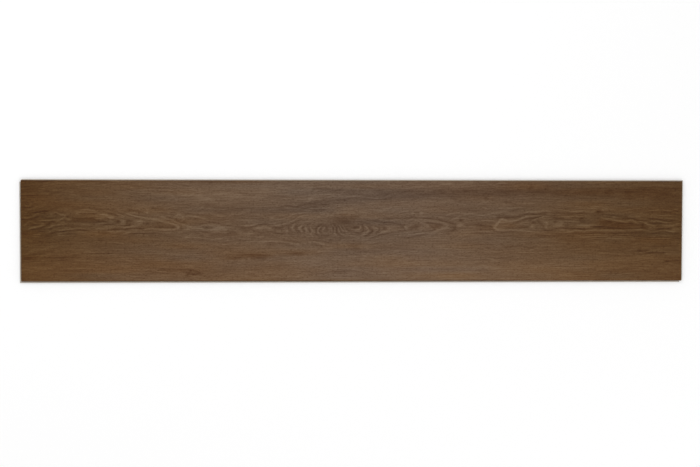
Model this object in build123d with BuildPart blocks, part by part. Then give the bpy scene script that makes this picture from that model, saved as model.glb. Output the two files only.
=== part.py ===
"""Rigid core vinyl floor plank: one board of stone-plastic composite, with a click joint milled on all four edges.

Frame: +X runs along the plank towards the end with the tongue, +Y runs across it towards the long edge
with the tongue, and +Z runs up to the decorative face. The origin is on the underside, below the centre
of the face. All lengths are in millimetres.

Both pairs of edges have the same joint. Its section has a tongue and a locking pocket on the positive side,
and a groove and a longer lower lip, with a locking bead, on the negative side. Two planks set edge to edge
touch at the joint plane, under their bevels, and the bead of one stands in the pocket of the other.
"""

import os

from build123d import *

# Driving dimensions
FACE_LENGTH = 1500.0
FACE_WIDTH = 228.0
THICKNESS = 6.0
BEVEL = 0.5

# Tongue edge. Each "out" is a distance from the joint plane, and each "up" is a height above the underside
TONGUE_OUT = 2.0
TONGUE_UP = 4.0
NOSE_UP = 2.7
HEEL_OUT = 0.4
HEEL_UP = 1.95
NOSE_RADIUS = 0.75
CHIN_RADIUS = 0.4
HEEL_RADIUS = 0.8

# Locking wall, which leans back as it rises from the heel
LOCK_FOOT = 1.2
LOCK_LEAN = 0.44
POCKET_UP = 2.85
POCKET_ROOF_END = 3.3
POCKET_BACK = 3.9
POCKET_BACK_UP = 1.9

# Lower lip of the groove edge, with its bead
LIP_OUT = 3.6
LIP_END_UP = 1.5
BEAD_UP = 2.7
BEAD_END = 2.75

# Running gaps between two joined planks
GROOVE_GAP = 0.1
NOSE_GAP = 0.2
LOCK_GAP = 0.05

# Milled corners
SMALL_RADIUS = 0.15
POCKET_RADIUS = 0.35
UNDERSIDE_CHAMFER = 0.3


def lock_wall(up):
    """Distance of the locking wall from the joint plane at a height."""
    return LOCK_FOOT + (up - HEEL_UP) * LOCK_LEAN


# Corners of each edge as (out, up, radius), from the face down to the underside
TONGUE_EDGE = [
    (-BEVEL, THICKNESS, 0),
    (0, THICKNESS - BEVEL, 0),
    (0, TONGUE_UP, 0),
    (TONGUE_OUT, TONGUE_UP, NOSE_RADIUS),
    (TONGUE_OUT, NOSE_UP, CHIN_RADIUS),
    (HEEL_OUT, HEEL_UP, HEEL_RADIUS),
    (-lock_wall(HEEL_UP), HEEL_UP, SMALL_RADIUS),
    (-lock_wall(POCKET_UP), POCKET_UP, SMALL_RADIUS),
    (-POCKET_ROOF_END, POCKET_UP, POCKET_RADIUS),
    (-POCKET_BACK, POCKET_BACK_UP, POCKET_RADIUS),
    (-POCKET_BACK, UNDERSIDE_CHAMFER, 0),
    (-POCKET_BACK - UNDERSIDE_CHAMFER, 0, 0),
]

GROOVE_ROOF = TONGUE_UP + GROOVE_GAP
GROOVE_BACK = TONGUE_OUT + NOSE_GAP
VALLEY_UP = HEEL_UP - GROOVE_GAP
GROOVE_EDGE = [
    (-BEVEL, THICKNESS, 0),
    (0, THICKNESS - BEVEL, 0),
    (0, GROOVE_ROOF, SMALL_RADIUS),
    (-GROOVE_BACK, GROOVE_ROOF, NOSE_RADIUS),
    (-GROOVE_BACK, NOSE_UP - GROOVE_GAP, CHIN_RADIUS),
    (-HEEL_OUT, VALLEY_UP, HEEL_RADIUS),
    (lock_wall(VALLEY_UP) + LOCK_GAP, VALLEY_UP, SMALL_RADIUS),
    (lock_wall(BEAD_UP) + LOCK_GAP, BEAD_UP, SMALL_RADIUS),
    (BEAD_END, BEAD_UP, POCKET_RADIUS),
    (LIP_OUT, LIP_END_UP, POCKET_RADIUS),
    (LIP_OUT, UNDERSIDE_CHAMFER, 0),
    (LIP_OUT - UNDERSIDE_CHAMFER, 0, 0),
]


def click_section(face_size):
    """Section of the whole board across one pair of edges, standing on the origin and centred on it."""
    tongue_side = [(face_size / 2 + out, up, radius) for out, up, radius in TONGUE_EDGE]
    groove_side = [(-face_size / 2 - out, up, radius) for out, up, radius in reversed(GROOVE_EDGE)]
    corners = tongue_side + groove_side
    with BuildSketch() as section:
        with BuildLine():
            edges = FilletPolyline(
                [(across, up) for across, up, radius in corners],
                radius=[radius for across, up, radius in corners[1:-1]],
            )
            Line(edges @ 1, edges @ 0)
        make_face()
    return section.sketch


# The long edges are milled first, over the blank's full length. The ends are milled across what is left,
# so the board is what both sections share
with BuildPart() as milled:
    with BuildSketch(Plane.YZ):
        add(click_section(FACE_WIDTH))
    extrude(amount=FACE_LENGTH, both=True)
    with BuildSketch(Plane.XZ):
        add(click_section(FACE_LENGTH))
    extrude(amount=FACE_WIDTH, both=True, mode=Mode.INTERSECT)

# At two corners a bead crosses a tongue, and the crumb they share there is cut loose, so only the board is kept
plank = milled.solids().sort_by(SortBy.VOLUME)[-1]
plank.label = "plank"

os.makedirs("parts", exist_ok=True)
export_step(plank, "parts/plank.step")
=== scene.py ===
"""Looks of a rigid core vinyl floor plank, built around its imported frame.

The decor face becomes a fine grid, embossed and printed with an oak figure. Places in the figure are written
in the photograph's pixels, across to the right and down, and the face's four corners tie them to metres.
"""

import math

import bmesh
import bpy
import numpy as np
from mathutils import Euler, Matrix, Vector


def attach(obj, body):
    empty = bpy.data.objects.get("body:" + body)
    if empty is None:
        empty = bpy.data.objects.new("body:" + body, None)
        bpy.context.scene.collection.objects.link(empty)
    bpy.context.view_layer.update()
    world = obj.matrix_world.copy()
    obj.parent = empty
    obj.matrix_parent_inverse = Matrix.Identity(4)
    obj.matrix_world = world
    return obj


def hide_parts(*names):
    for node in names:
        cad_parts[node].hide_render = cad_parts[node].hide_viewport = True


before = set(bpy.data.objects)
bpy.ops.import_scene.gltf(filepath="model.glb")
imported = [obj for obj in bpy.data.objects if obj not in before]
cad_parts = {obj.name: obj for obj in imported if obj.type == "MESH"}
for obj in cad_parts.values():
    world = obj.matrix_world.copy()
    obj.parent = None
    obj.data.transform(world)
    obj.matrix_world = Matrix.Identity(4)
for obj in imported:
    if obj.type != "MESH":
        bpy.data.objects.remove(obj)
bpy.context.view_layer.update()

# Width of the photograph, and where it shows the four corners of the face, as (across, down)
PHOTO_WIDTH = 700
TOP_LEFT = np.array([20.5, 179.8])
TOP_RIGHT = np.array([682.3, 180.85])
BOTTOM_RIGHT = np.array([681.25, 280.85])
BOTTOM_LEFT = np.array([21.35, 281.8])

# Grid of the face, and the pixels round which its columns stand closer together
GRID_COLUMNS = 484
GRID_ROWS = 196
COLUMN_SAMPLES = 1001
DENSE_MIDDLE = 338
DENSE_REACH = 50
DENSE_SHARE = 0.9

# Embossing and film of the plank, in metres, and the percentiles of the relief that the embossing spans
EMBOSS_DEPTH = 0.00009
RELIEF_SPAN = (2, 98)
FLAT_RIM = 0.004
FILM_LEVEL = 0.0051
FILM_BLUR = 0.00006
WELD_DISTANCE = 1e-6

# Material slots of the plank, and the steepest normal that counts as facing down
DECOR, CORE, UNDERSIDE = range(3)
FACING_DOWN = -0.99

# Print under the wear layer, its fine noise, and what it holds on the bevels
WEAR_LAYER_GLOSS = 0.010
DARKEST_INK = 0.001
PRINT_GAMMA = 2.2
DETAIL_COLOUR = (0.350, 0.360, 0.335)
REDNESS_SHARE = 0.25
HAIR_TONE = 0.36
PORE_TONE = 0.18
RIM_PRINT = {"tone": 0.3, "redness": 0.0, "detail": 0.0}

# Floor and lamps, in metres, and the glow that keeps the floor white to the camera
FLOOR_HALF = 20.0
FLOOR_LEVEL = -0.0003
FLOOR_GLOW = 0.2
SOFTBOX_SIZE = 1.6

# Camera, with its lens and sensor in millimetres, its place in metres and its tilt in degrees
CAMERA_LENS = 70.0
CAMERA_SENSOR = 36.0
CAMERA_PLACE = (-0.1493, 0.1046, 3.0862)
CAMERA_TILT = (-2.058, -2.564, 0.091)

# Seeded noise in the print: strength, length and width of its blotches in pixels, seed
AXIS_SWAY = (0.9, 28, 9, 11)
RING_WANDER = (0.28, 16, 5, 12)
FAR_WANDER = (0.5, 90, 8, 13)
FIBRE_SWAY = (0.7, 60, 14, 21)
RING_FIBRES = (0.017, 50, 0.9, 22)
STRAIGHT_FIBRES = [(0.014, 24, 0.8, 23), (0.012, 6, 0.8, 24), (0.019, 2, 0.8, 25)]
DETAIL_CLOUDS = (0.009, 50, 9, 26)
WARMTH_CLOUDS = (0.35, 40, 6, 27)
SWAY_ACROSS = (0.6, 9, 3, 28)
SWAY_DOWN = (0.2, 9, 4, 29)

# Lattice of random values behind that noise
LATTICE_ROWS = 256
LATTICE_COLUMNS = 512
LATTICE_SPREAD = 1.5

# Broad tone along the plank and across it, and broad warmth in the same way, as (pixel, value). They mix the
# print's own tone with painted light: painted shade makes the ends darker and warmer, a painted sheen makes
# the middle paler and greyer, and painted light makes the bottom edge paler and redder.
TONE_AND_PAINTED_LIGHT_ALONG = [
    (20, 0.28), (60, 0.37), (120, 0.44), (200, 0.495), (270, 0.53),
    (330, 0.54), (420, 0.56), (500, 0.495), (600, 0.395), (681, 0.335),
]
# Partly print and partly painted light: paler towards the bottom edge.
TONE_AND_PAINTED_LIGHT_DOWN = [(180, 0.02), (200, 0.02), (222, -0.01), (245, 0), (265, 0.04), (281, 0.05)]
# On top of the print's own warmth, painted shade warms the ends and a painted sheen greys the middle.
WARMTH_AND_PAINTED_LIGHT_ALONG = [
    (20, 0.8), (70, 0.8), (120, 0.4), (180, 0), (270, -0.4), (340, -0.9),
    (400, -0.8), (460, -0.2), (520, 0.2), (600, 0.5), (681, 0.3),
]
# Partly print and partly painted light: redder towards the bottom edge.
WARMTH_AND_PAINTED_LIGHT_DOWN = [(180, -0.2), (210, 0), (230, -0.1), (250, 0.4), (268, 1.1), (281, 1.2)]

# Smoothing of values that are given pixel by pixel
BLUR_REACH = 6
BLUR_SPREAD = 1.6

# Growth rings away from the figure's axis, with lengths in pixels
RING_PITCH = 2.5
NOSE_WIDTH = 5
FIGURE_REACH = 14
FAR_RING = 3
RING_SPAN = 3
RING_TONE = 0.01875
RING_EDGE_TONE = 0.01125

# How the printed lines are drawn, with lengths in pixels
LINE_STRENGTH = 1.2
LINE_LIMIT = 0.17
LINE_WIDTH = 0.72
LINE_REACH = 4
END_FADE = 4
END_SHARE = 0.35
COURSE_STEPS = 6

# Growth rings where they cross the figure's axis: across, down, ring number.
# A pale line is printed at each whole ring, and a dark one half way between
FIGURE_AXIS = [
    (20, 223, 1.8), (45, 220, 1.2), (66, 218, 2), (90, 220.5, 1.5), (118, 222, 2.5),
    (139, 223.5, 4), (178, 227, 5), (191, 228, 6), (207, 227.4, 5.5), (245, 228.5, 6.6),
    (275, 229, 6.5), (284, 229.3, 6), (304, 229.3, 2), (317, 229.5, 0), (331, 228, -2),
    (352, 228, -4), (368, 230, -2), (377, 230.5, -1), (389, 229.5, 0.2), (404, 227.5, 0),
    (435, 226.5, 1.5), (455, 227, 2.6), (480, 225.5, 2.5), (494, 226.6, 2), (512, 226.5, 1.4),
    (545, 226, 1.7), (600, 226.8, 1.5), (640, 227, 1.6), (662, 228, 2.6), (690, 229, 3.4),
]

# Printed lines: tone, half width, and the places that they pass
LINES = [
    (-0.24, 0.8, (22, 207.5), (27, 207.6), (31, 207.4), (35, 207.2)),
    (0.14, 0.7, (24, 206.3), (28, 206.3), (32, 206.2)),
    (0.1, 0.8, (26, 210), (31, 209.3), (35, 208.2), (38, 207)),
    (-0.1, 0.9, (23, 215.6), (28, 215.6), (32, 214)),
    (-0.12, 0.8, (33, 213.2), (36.4, 212.2), (39, 211.6)),
    (-0.24, 0.8, (38.5, 211.6), (42, 211.4), (48, 211.4)),
    (0.14, 0.7, (39, 212.7), (44, 212.5), (48, 212.5)),
    (-0.16, 0.8, (39, 213.6), (42, 213.5), (46, 213.2)),
    (0.08, 0.8, (26, 212.6), (29, 212.6), (32, 212.2)),
    (0.22, 0.9, (23, 217.4), (27, 217.9), (30.6, 217.3), (33, 215.8), (36.6, 214.2)),
    (-0.22, 0.9, (21, 219.4), (25, 219.8), (29, 219.3), (32, 218.8), (36, 217.4), (39, 216.4)),
    (0.17, 0.9, (24, 226), (26.6, 224.4), (28.6, 222.2), (31, 221.2), (33.2, 221.8), (35.4, 223.3),
     (38, 223.8)),
    (0.26, 1.1, (27.6, 230), (29.4, 228.2), (32.6, 227.3), (37, 226.9), (40.4, 226.1), (44.2, 224.2)),
    (0.12, 0.9, (44, 224), (42.6, 222.8), (40.4, 222.6)),
    (-0.22, 0.9, (31, 229.6), (35, 229.1), (40, 228.5), (44, 227.1), (47.4, 225.2), (50.6, 222.6)),
    (-0.12, 0.8, (30, 225.6), (33, 225.2), (38, 224.8)),
    (0.22, 0.9, (39, 220.4), (45, 220.1), (50, 220), (56, 220), (59.8, 219.6), (62, 218.2), (64.4, 216.8)),
    (0.2, 0.9, (64.4, 216.8), (63.4, 215.3), (60.4, 213.9), (57.4, 212.6), (54.6, 211.3)),
    (-0.18, 0.8, (45, 218.4), (50, 218.4), (57, 218.3)),
    (-0.18, 0.9, (42, 221.5), (48, 221.4), (54, 221.6), (57.6, 223), (61, 221.8), (64, 220.4), (67, 221.4),
     (73, 221.4)),
    (0.2, 1, (65.6, 218), (68, 219.5), (71.4, 219.6)),
    (-0.08, 0.9, (55, 214), (59, 216), (61, 216.6)),
    (-0.07, 0.9, (57, 210.9), (61, 212.2), (65, 213.6)),
    (0.22, 1.1, (49.6, 227.6), (52, 226.2), (54.4, 224.4)),
    (0.12, 0.8, (55, 224.9), (60, 224.8), (66, 224.6)),
    (-0.1, 0.8, (56, 226.4), (60, 226.4), (66, 226), (74, 226.4)),
    (0.17, 0.7, (63.6, 227.5), (67, 227.5), (72, 227.7)),
    (0.18, 0.7, (63.6, 229.4), (68, 229.4), (72, 229.2)),
    (0.12, 0.9, (71, 228.6), (76, 228.3), (80, 228.2), (90, 228.8)),
    (-0.18, 0.8, (48, 233.6), (52, 233.1), (56, 232.2), (60, 231.4), (64, 231.2), (68, 230.6), (74, 230.5),
     (89, 230.5)),
    (0.14, 0.9, (47.6, 232.5), (50, 231.8), (53, 230.6), (55.4, 229.2)),
    (0.16, 0.7, (55.6, 233.5), (60, 233.5), (65, 233.2)),
    (0.12, 0.8, (56, 230.5), (60, 230.4), (64.6, 230)),
    (0.1, 0.8, (63.6, 232.4), (68, 232.6)),
    (0.15, 0.7, (31.6, 234.5), (40.4, 234.5)),
    (0.13, 0.7, (31.6, 236.5), (40.4, 236.5)),
    (-0.1, 0.7, (40, 234.5), (48, 234.4)),
    (0.12, 0.7, (56, 235.6), (64, 235.6)),
    (0.16, 0.7, (74, 231.5), (80, 231.5), (88, 231.6)),
    (0.08, 0.8, (88, 231.4), (104, 231.4)),
    (0.18, 0.8, (78, 212.2), (84, 212.4), (90, 212.4), (96, 212.3)),
    (-0.13, 0.8, (78, 213.5), (86, 213.5), (96, 213.5)),
    (0.12, 0.7, (79.6, 209.6), (84, 209.6), (88, 209.8)),
    (0.12, 0.7, (87.6, 210.5), (94, 210.4)),
    (-0.13, 0.8, (90, 209.2), (96, 209.5), (102, 209)),
    (0.08, 1, (88, 216.4), (92, 216.6), (97, 216)),
    (-0.12, 1.2, (72, 218.2), (78, 218.5), (84, 218.4), (92, 219), (96, 220.2)),
    (-0.17, 1, (94, 222.2), (99, 221.4), (104, 221.2), (108, 222)),
    (-0.08, 1.2, (72, 221.4), (82, 221.8), (94, 222.6)),
    (0.18, 0.8, (95, 218.4), (100, 218.4), (104.4, 219.2)),
    (0.3, 1.1, (100.4, 214.3), (104.4, 214.5), (107.6, 215.4), (109.8, 216.8), (113.6, 218)),
    (-0.18, 0.9, (108.6, 213.4), (112, 213.8), (115, 215), (117.6, 216.8)),
    (-0.12, 0.9, (113, 219), (115.6, 219.8)),
    (0.22, 0.9, (116.2, 214.2), (119.4, 214.6), (121.2, 216.2), (123, 218.4)),
    (-0.18, 0.8, (118.4, 212.4), (120.6, 213.4), (122.6, 214.4)),
    (0.15, 0.7, (117, 209.6), (121, 209.4), (123.4, 208.8)),
    (-0.12, 0.7, (111.6, 209.4), (115, 209.3)),
    (0.15, 0.8, (95.4, 224.6), (98, 224), (102, 223.3), (105, 223.2)),
    (0.17, 0.7, (79.6, 224.5), (88.4, 224.5)),
    (0.1, 0.7, (71.6, 223.4), (80, 223.4)),
    (-0.18, 0.7, (104, 224.5), (109, 224.5), (114.4, 224.4)),
    (0.12, 0.9, (103.6, 227), (107, 227.8), (111, 227.8), (116, 227.2), (124, 226.7), (131, 226.5)),
    (0.15, 0.7, (95.6, 228.4), (104.4, 228.4)),
    (-0.09, 0.8, (102, 229.4), (110, 229.6), (124, 228.8), (132, 228.4)),
    (0.12, 0.8, (119, 230.4), (123, 231), (127, 232.2)),
    (0.07, 0.8, (104, 230.4), (112, 230.4), (119, 230.6)),
    (-0.22, 0.9, (124.6, 225.4), (128, 225.3), (131.6, 225.2)),
    (-0.2, 1, (127.4, 220), (127.5, 222.4), (127.4, 224.6)),
    (0.24, 0.9, (126.4, 213.2), (130, 214.7), (133.4, 215.5), (136.6, 216.9), (141, 217.6), (147, 218.9),
     (152, 219.2)),
    (0.26, 1.1, (151, 219.2), (155, 219.7), (158.6, 220.3), (161.4, 221), (164.4, 222.2), (168, 222.6),
     (171, 223.3), (174, 224.7), (177, 226)),
    (0.22, 0.9, (179.4, 228.4), (175, 229.3), (165, 229.4), (158, 229.3), (150, 229), (143, 229.4)),
    (-0.17, 0.8, (144, 227.5), (152, 227.4), (160, 227.5), (168, 227.5), (175, 227.4)),
    (-0.28, 0.8, (135.6, 228.4), (139, 228.4), (144, 228.4)),
    (-0.16, 0.7, (138.4, 226.6), (144, 226.5)),
    (-0.12, 0.9, (155, 222.4), (160, 222.6), (163, 224)),
    (0.1, 0.8, (136.6, 208.4), (140, 207.1), (143.8, 207.8), (146, 209.8), (146.8, 212.6)),
    (0.12, 0.8, (136.4, 208.4), (139, 209.6), (142, 210.8), (144.2, 211.8)),
    (0.14, 0.8, (132, 209.6), (136, 209.4)),
    (0.1, 0.7, (130, 212.3), (136, 212.6)),
    (-0.15, 0.8, (127, 210.4), (132, 210.6), (137, 210.9), (141, 211.6), (144, 213)),
    (-0.14, 0.8, (137, 215.3), (141, 215.8), (144.4, 216.7)),
    (-0.12, 0.9, (127, 216), (132, 216.6), (137, 218.6)),
    (-0.12, 0.7, (126, 233.4), (140, 233.5), (151, 233.4)),
    (-0.18, 0.7, (150, 233.5), (156, 233.5), (161, 233.4)),
    (0.12, 0.7, (126, 232.4), (134, 232.4), (145, 232.4)),
    (-0.1, 0.8, (148, 208), (164, 209.2), (180, 210)),
    (-0.1, 0.7, (38, 241.5), (54, 242), (64, 241.2)),
    (-0.09, 0.6, (20, 195.6), (34, 195.8), (52, 195.3)),
    (0.09, 0.6, (20, 194.5), (36, 194.3)),
    (0.22, 1, (159.6, 216.6), (162.4, 217.2), (165.2, 218.5), (168.6, 219.4)),
    (0.14, 0.9, (168, 219.4), (173, 220.4), (177, 222.4), (180.6, 223.6), (184.6, 224.6), (187.6, 226),
     (190, 227.6), (191.8, 229)),
    (-0.12, 0.8, (166, 220.5), (170, 221.4), (174, 223), (178, 224.2), (181, 226), (182, 228.4),
     (181, 230)),
    (-0.16, 0.9, (166, 217.4), (171, 218.2), (176, 220.2), (180, 221.8), (184.4, 222.5), (188, 222.2)),
    (0.18, 1, (175.6, 214.4), (179, 214.6), (181.8, 215.8), (182, 218), (182.6, 220.6)),
    (0.16, 0.8, (184, 216.2), (188, 216.4), (192, 216.8)),
    (0.17, 0.9, (192, 216.8), (198, 217.3), (201, 217.9), (207, 217.8)),
    (-0.07, 0.8, (194, 219), (204, 219.3)),
    (0.14, 0.7, (184, 212.4), (188, 212.5), (192, 212.5)),
    (-0.13, 0.7, (183.6, 211.4), (192, 211.4)),
    (-0.13, 0.7, (183.6, 213.4), (192, 213.5)),
    (0.14, 0.7, (170, 206.6), (173, 206.4), (176, 206.4)),
    (0.1, 0.8, (164, 208.4), (168, 208.4)),
    (-0.17, 0.9, (190, 225.3), (196, 225), (203, 223.5), (212, 222.7), (218, 223.4), (224, 224.9),
     (233, 225.8)),
    (0.1, 0.7, (191, 226.6), (200, 226.2), (206, 225.2), (213, 225.6)),
    (-0.13, 0.9, (233, 226.2), (241, 227.6), (250, 227.4), (255, 225.8), (260, 224.5), (266, 224.3)),
    (-0.12, 0.9, (199, 230.2), (205, 232.6), (215, 234.2), (226, 234), (232, 232)),
    (0.12, 0.8, (192, 229), (200, 229), (206, 230), (211, 229.6), (215, 228.2)),
    (-0.19, 0.9, (250, 229.4), (256, 231.5), (262, 232.2), (270, 232.4), (277, 233.4), (284, 234.4)),
    (0.1, 1.2, (252, 229.4), (258, 228), (264, 226.4)),
    (0.12, 1, (264.6, 226.6), (268, 228), (272, 229.8)),
    (-0.06, 0.8, (262, 224.4), (270, 224.6), (275, 227.4), (281, 228)),
    (0.15, 0.8, (243, 225.8), (249, 225.4), (255, 223.6), (262, 223.2)),
    (0.12, 0.7, (276, 231), (281, 232.6)),
    (0.14, 0.6, (244, 241.4), (251, 242), (262, 241.8), (274, 241.4), (284, 241.6)),
    (0.1, 0.6, (220, 244.6), (230, 243.6), (238, 242.4)),
    (-0.1, 0.6, (224, 242), (236, 240.4), (246, 240.2)),
    (0.1, 0.7, (184, 237.4), (196, 237.6), (208, 239), (222, 239)),
    (-0.09, 0.7, (196, 239.8), (210, 241), (224, 240.2)),
    (-0.1, 0.6, (248, 209.4), (258, 209.6), (268, 209.2)),
    (-0.09, 0.6, (230, 215.6), (250, 215.8), (268, 215.2), (282, 214.2)),
    (0.1, 0.8, (270, 225.4), (280, 224.8), (287, 223.2), (292, 221), (297, 218), (304, 216), (311, 214.8)),
    (-0.13, 0.8, (272, 227.6), (281, 227.2), (287, 225.9), (292, 223.6), (297, 221), (303, 219)),
    (-0.11, 0.7, (276, 222.8), (283, 222.6), (289, 220.2), (296, 217.4), (304, 215)),
    (0.11, 0.7, (276, 220.4), (287, 217.6), (296, 213.6), (306, 212.2)),
    (0.13, 0.7, (286, 226.6), (284, 228.6), (286, 231), (290, 232.6)),
    (-0.16, 0.8, (293, 223.4), (289, 226), (287.6, 229), (289, 231.4), (291.6, 232.6)),
    (0.22, 1.2, (292.6, 226.6), (291.6, 229), (292.8, 231)),
    (-0.12, 0.8, (298, 224.4), (295.2, 227.4), (295, 230.6), (298, 234.6)),
    (-0.22, 0.9, (301, 224.6), (297.6, 226.6), (296.3, 228.8), (297.6, 231.2), (301.4, 232.8),
     (304, 232.8)),
    (0.24, 1.1, (302, 226.2), (299.4, 227.8), (299.2, 230.2), (301.8, 232)),
    (-0.2, 0.8, (304.4, 226.4), (302, 228), (302, 229.8), (304.4, 231.4)),
    (0.28, 1.2, (304.4, 227), (304.8, 230)),
    (-0.06, 0.8, (309.5, 225.6), (307.4, 229.4), (309.6, 234)),
    (0.12, 0.8, (312, 223.6), (309.9, 228), (310.6, 232.4), (313, 237)),
    (-0.22, 1, (323, 223.9), (319, 225.4), (316, 227.6), (314.8, 230), (315.4, 233), (317.4, 236)),
    (0.24, 1.1, (320.6, 226.6), (318.2, 228.4), (317.5, 231), (318.6, 233.6)),
    (-0.2, 0.9, (326.4, 224.6), (322.6, 226.8), (320.6, 229), (320, 232), (321.4, 234)),
    (0.18, 0.8, (326.6, 227), (324.4, 228.4), (323.2, 230), (323.2, 232)),
    (-0.18, 0.7, (327, 226.8), (326.4, 229.6)),
    (0.12, 0.7, (328.2, 228.4), (327.6, 232)),
    (0.12, 0.7, (330.4, 224.6), (330, 229), (330.8, 233)),
    (-0.14, 0.7, (331.8, 224), (331.7, 229), (332.6, 233.6)),
    (0.15, 0.7, (333.2, 224.6), (333.3, 229), (335, 234)),
    (-0.22, 0.9, (334.4, 224), (334.8, 227), (335.6, 230.4), (338, 234), (342, 236.2)),
    (0.14, 0.7, (336.4, 226.4), (338, 230), (341, 233.6), (346, 235.4)),
    (-0.2, 0.8, (336.6, 225), (339.4, 229.4), (341.4, 232.4)),
    (0.16, 0.7, (338.6, 225.4), (341.2, 229), (343.6, 232)),
    (-0.18, 0.8, (340, 225.8), (343.4, 229), (345, 231)),
    (0.15, 0.8, (343, 227), (345, 230.4), (347.4, 233)),
    (-0.16, 0.8, (346, 228.4), (348.4, 231), (352, 232)),
    (-0.06, 1.2, (318, 238.6), (321.6, 239), (325, 237.6)),
    (-0.14, 1, (321, 235), (325, 235.8), (329, 235.2)),
    (-0.12, 0.9, (325, 239.6), (334, 240.4), (342, 239.6)),
    (0.08, 1, (334, 233.6), (336.4, 235.4), (340, 237)),
    (-0.07, 0.8, (338, 238.6), (346, 237.6), (355, 237)),
    (-0.14, 0.8, (342, 240), (350, 240.4), (358, 239.8)),
    (0.12, 0.7, (347, 234), (352, 236), (358, 236.6)),
    (0.24, 0.9, (351, 229), (355.6, 229.6), (359, 229), (360.2, 227.2), (358.8, 225.6)),
    (-0.17, 0.9, (353, 226.8), (355.6, 227.2), (358, 226.4)),
    (-0.2, 0.9, (359, 224), (361.8, 225.2), (363, 227.6), (362.6, 230.6), (360, 232.4), (354, 232.6)),
    (0.24, 1.1, (365.6, 225.4), (367.4, 228), (368.2, 230), (367, 232), (363, 233.2)),
    (0.18, 0.9, (360, 235.4), (364, 234.8), (367, 234)),
    (-0.24, 1, (368, 226), (370.4, 228.4), (371.8, 229.8), (370.8, 232.4), (368, 234.6), (363, 236)),
    (0.2, 1, (372.6, 226.6), (375.4, 228.2), (376.2, 230.2), (373, 232.4)),
    (-0.13, 0.8, (375, 226), (378.4, 228.4), (378.2, 231), (375.4, 232.6), (380, 232.6)),
    (0.14, 0.9, (370, 236.4), (374, 235.6), (378, 234), (383, 231.9), (389, 231), (396, 230.6)),
    (-0.13, 0.9, (369, 238.8), (378, 236.4), (388, 233.6)),
    (-0.16, 1.2, (381, 226.6), (385.4, 228.2), (383, 229.8)),
    (0.1, 0.8, (384, 225.4), (390, 227.6), (389, 229.6)),
    (0.11, 0.7, (352, 239.6), (360, 240.6), (368, 239.6)),
    (0.09, 0.7, (358, 246), (366, 244.2), (376, 242)),
    (-0.2, 0.9, (372, 221.4), (380, 222.2), (390, 222.6), (398, 224), (408, 225)),
    (-0.26, 0.7, (384, 218.4), (396, 218.4), (412, 218.6)),
    (0.1, 0.7, (376, 219.6), (388, 220.2), (402, 220.6)),
    (-0.12, 0.8, (362, 219.6), (372, 220.6), (380, 219.6)),
    (-0.14, 0.9, (356, 221.6), (362, 222.6), (370, 224)),
    (-0.2, 0.8, (422, 218.4), (430, 218.7), (437, 219.4), (443, 220.8), (449, 221.6), (453, 223.6)),
    (-0.13, 1.8, (450, 221.8), (454.4, 225), (454.6, 229), (451.4, 232)),
    (0.11, 0.8, (420, 219.8), (430, 220.8), (438, 222), (445, 223.2)),
    (0.15, 1.4, (444, 222.8), (446.6, 225), (446, 228), (441, 229.4), (432, 230.8)),
    (0.1, 0.8, (441, 230.2), (427, 232.4), (419, 233.6), (410, 235.8)),
    (-0.24, 1, (426, 223), (433, 223.6), (441.6, 224.4)),
    (-0.16, 1, (429, 225), (430.4, 228), (434, 229.6)),
    (0.14, 0.8, (418, 222.4), (424, 224.2), (429, 227), (430.6, 229.8)),
    (-0.13, 0.8, (411, 233.4), (420, 231.6), (428, 230.4), (436, 229.8)),
    (-0.16, 0.8, (406, 238.4), (414, 236.8), (421.4, 235.6), (428, 234.2)),
    (0.08, 0.7, (404, 236.6), (411, 235), (418, 234.2)),
    (-0.13, 0.9, (404, 217.6), (411, 217), (418, 218.2)),
    (0.13, 0.8, (407, 220.6), (412, 219.4), (418, 221)),
    (0.12, 0.7, (446, 215.4), (452, 213.6), (458, 212.8), (466, 213.4)),
    (0.12, 0.8, (450, 220.6), (455, 218.2), (461, 216.6), (466, 218)),
    (0.12, 0.7, (463, 227.2), (470, 227.3), (477, 228)),
    (-0.1, 0.7, (463, 225.6), (470, 225.4), (476, 225.2)),
    (-0.26, 1.2, (474, 225), (480, 225.5), (486, 225.6), (491.5, 226.4)),
    (0.16, 0.8, (463, 213.4), (470, 213.6), (480, 214.6), (488, 214.2), (495, 213.2), (504, 212.6)),
    (-0.12, 0.7, (470, 233.5), (480, 233.2), (490, 233.3)),
    (-0.12, 0.8, (478, 228.8), (486, 229.4), (492, 229.6), (496, 232), (504, 232.6), (516, 232)),
    (0.06, 0.7, (466, 231.8), (480, 231.9), (490, 231.4)),
    (0.28, 1.3, (499.4, 222), (496, 224.4), (493.3, 226.4), (494.6, 228.4), (498.6, 230)),
    (0.17, 0.9, (498, 230), (505, 230.2), (514, 230.2), (522, 231), (534, 232), (547, 232.2)),
    (0.24, 1.2, (499.6, 222.6), (501, 219.6), (503.6, 219), (506.4, 220.8), (512, 221.4)),
    (0.24, 1.1, (511, 221.6), (516, 219.8), (521, 218.2), (528, 216.6)),
    (0.09, 0.9, (528, 216.6), (533, 215.6), (540, 214.8)),
    (-0.17, 1.3, (497, 217), (511, 216.7), (518, 216), (530, 214.5), (546, 213.4)),
    (0.12, 0.7, (504, 212.4), (511, 212.4)),
    (0.17, 0.8, (505, 214.8), (515, 213.9), (525, 212.3)),
    (0.22, 1, (525, 212.3), (534, 211.4), (544, 210.9), (552, 211.6)),
    (-0.17, 0.9, (516, 222), (521, 220.4), (527, 219.2), (533, 218.2), (543, 216)),
    (-0.17, 1, (517, 227.6), (523, 226.6), (529, 227.2)),
    (0.11, 0.8, (520, 223.6), (526, 222.4), (530, 223.6)),
    (0.16, 0.8, (533, 220.6), (538, 218.2), (544, 216.4), (550, 216.6)),
    (-0.13, 0.9, (529, 221), (533, 219), (539, 216.8)),
    (-0.15, 1, (538, 221), (541, 224.4), (543.4, 229)),
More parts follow.
